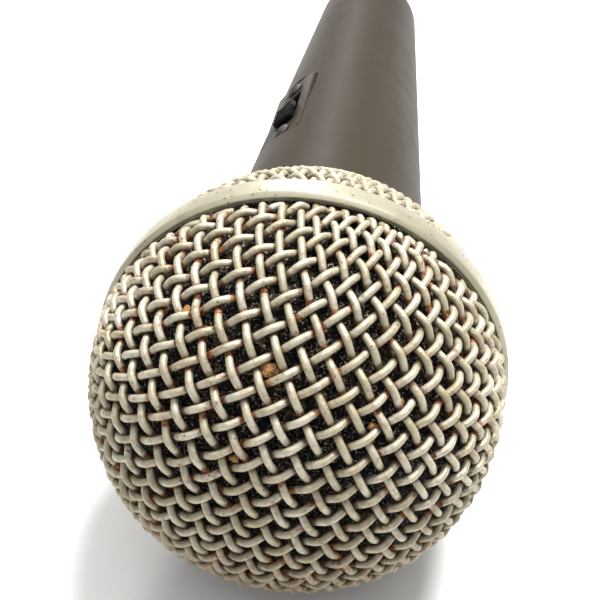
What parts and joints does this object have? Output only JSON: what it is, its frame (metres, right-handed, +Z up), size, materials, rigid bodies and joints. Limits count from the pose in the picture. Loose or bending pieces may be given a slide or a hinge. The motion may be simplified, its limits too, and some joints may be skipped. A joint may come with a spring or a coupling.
{
  "type": "dynamic microphone",
  "caption": "Handheld vocal microphone with a round woven-wire grille, cream band and collar, dark tapered metal handle, slide switch and male three-contact connector, lying down.",
  "frame": {"origin": "on the surface that the microphone lies on, under the centre of its bounding box", "axes": "+Z up; +Y along the microphone towards the connector end, level with the surface, so the microphone's own axis dips about 6 degrees towards the connector; +X to the right seen from the grille end"},
  "size_m": [0.0514, 0.162, 0.0513],
  "materials": {
    "grille_wire": "worn champagne grey lacquer with rust at the wire crossings",
    "grille_paint": "worn satin cream grey",
    "foam": "open-cell foam",
    "rubber": "matt",
    "black_plastic": "fine matt",
    "cloth": "fine woven silk",
    "film": "thin polyester film",
    "copper": "enamelled winding wire",
    "steel": "zinc plated",
    "magnet": "sintered",
    "capsule_metal": "satin",
    "adapter_metal": "nickel-plated turned brass",
    "handle_paint": "satin warm dark grey enamel on a die casting",
    "switch_metal": "satin warm dark grey enamel",
    "screw_steel": "blackened steel",
    "contact_metal": "silver-plated brass",
    "lead_red": "PVC sleeve",
    "lead_black": "PVC sleeve"
  },
  "bodies": {
    "handle": {"handle": "handle_paint", "thread_adapter": "adapter_metal", "shock_mount": "rubber", "capsule_housing": "capsule_metal", "rear_chamber": "black_plastic", "resonator_cap": "black_plastic", "acoustic_cloth": "cloth", "pole_piece": "steel", "magnet": "magnet", "magnet_yoke": "steel", "switch_plate": "switch_metal", "switch_screw_1": "screw_steel", "switch_screw_2": "screw_steel", "switch_body": "black_plastic", "transformer_core": "steel", "transformer_winding": "copper", "transformer_cushion": "rubber", "connector_insert": "black_plastic", "connector_pin_1": "contact_metal", "connector_pin_2": "contact_metal", "connector_pin_3": "contact_metal", "connector_screw": "screw_steel", "capsule_lead_red": "lead_red", "capsule_lead_black": "lead_black", "output_lead_red": "lead_red", "output_lead_black": "lead_black"},
    "washer": {"seal_washer": "rubber"},
    "grille": {"grille_front": "grille_wire", "grille_band": "grille_paint", "grille_rear": "grille_wire", "grille_collar": "grille_paint", "windscreen_foam": "foam"},
    "switch_knob": {"switch_slider": "black_plastic"},
    "diaphragm_coil": {"diaphragm": "film", "voice_coil": "copper"}
  },
  "joints": [
    {"name": "grille_advance", "type": "slide", "parent": "handle", "child": "washer", "axis": [0, -0.9941, 0.1084], "range_m": [0, 0.006]},
    {"name": "grille_turn", "type": "hinge", "parent": "washer", "child": "grille", "pos_m": [0, -0.05632, 0.02583], "axis": [0, -0.9941, 0.1084], "range_deg": [0, 1444]},
    {"name": "switch_slide", "type": "slide", "parent": "handle", "child": "switch_knob", "axis": [0, 0.9941, -0.1084], "range_m": [0, 0.0045]},
    {"name": "diaphragm_travel", "type": "slide", "parent": "handle", "child": "diaphragm_coil", "axis": [0, -0.9941, 0.1084], "range_m": [-0.00025, 0.00025], "stiffness_N_per_m": 1500}
  ],
  "couplings": [
    {"joint": "grille_turn", "follows": "grille_advance", "rad_per_m": 4188.8}
  ]
}
